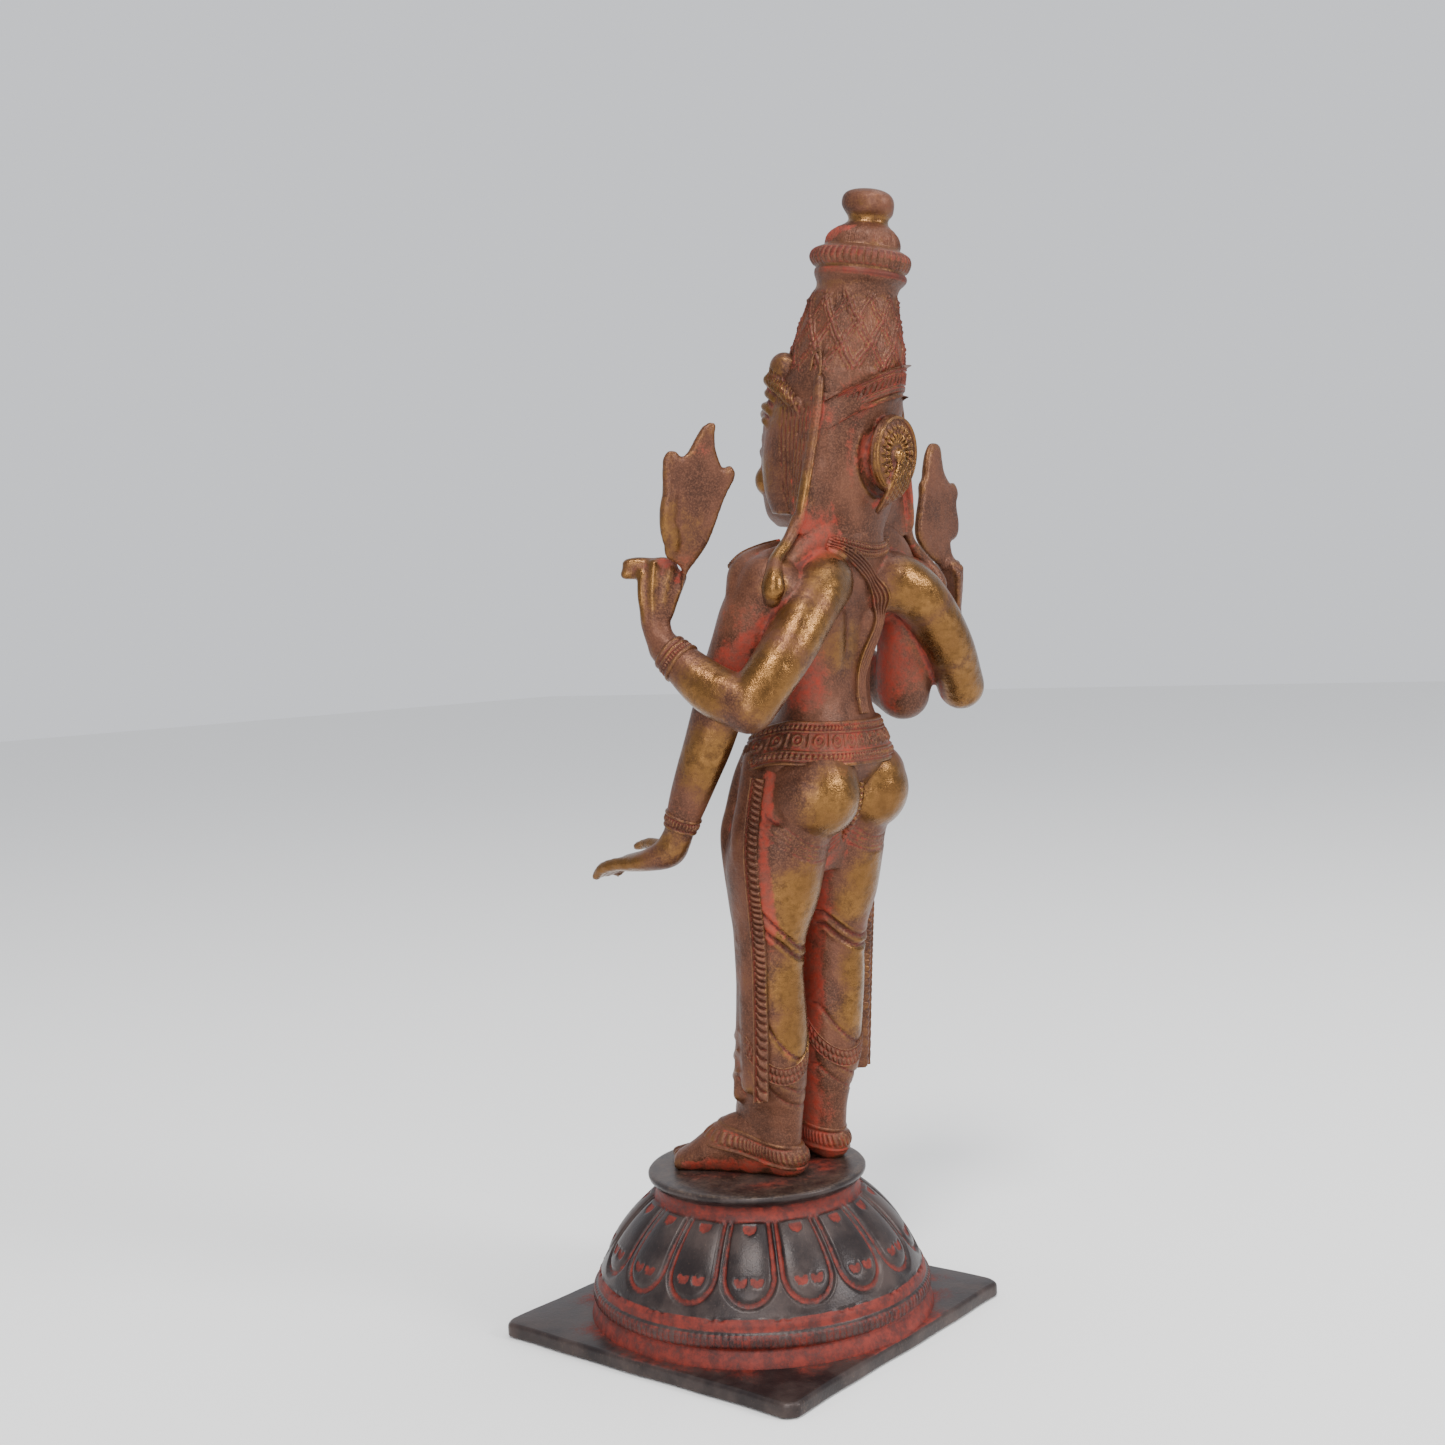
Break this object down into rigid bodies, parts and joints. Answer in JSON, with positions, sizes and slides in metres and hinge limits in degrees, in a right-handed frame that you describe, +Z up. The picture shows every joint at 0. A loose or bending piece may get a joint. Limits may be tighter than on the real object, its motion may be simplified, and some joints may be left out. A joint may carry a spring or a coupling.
{
  "type": "vishnu statue",
  "caption": "Small cast brass figure of a four-armed standing deity with a tall crown, on a round lotus pedestal and a square plate.",
  "frame": {"origin": "middle of the square plate's underside, where the statue stands", "axes": "+Z up, the figure faces -Y, its left is +X"},
  "size_m": [0.0969, 0.0867, 0.242],
  "materials": {
    "cast_brass": "worn brass with dark brown patina, red pigment left in the recesses"
  },
  "bodies": {
    "root": {"vishnu_statue": "cast_brass"}
  },
  "joints": []
}
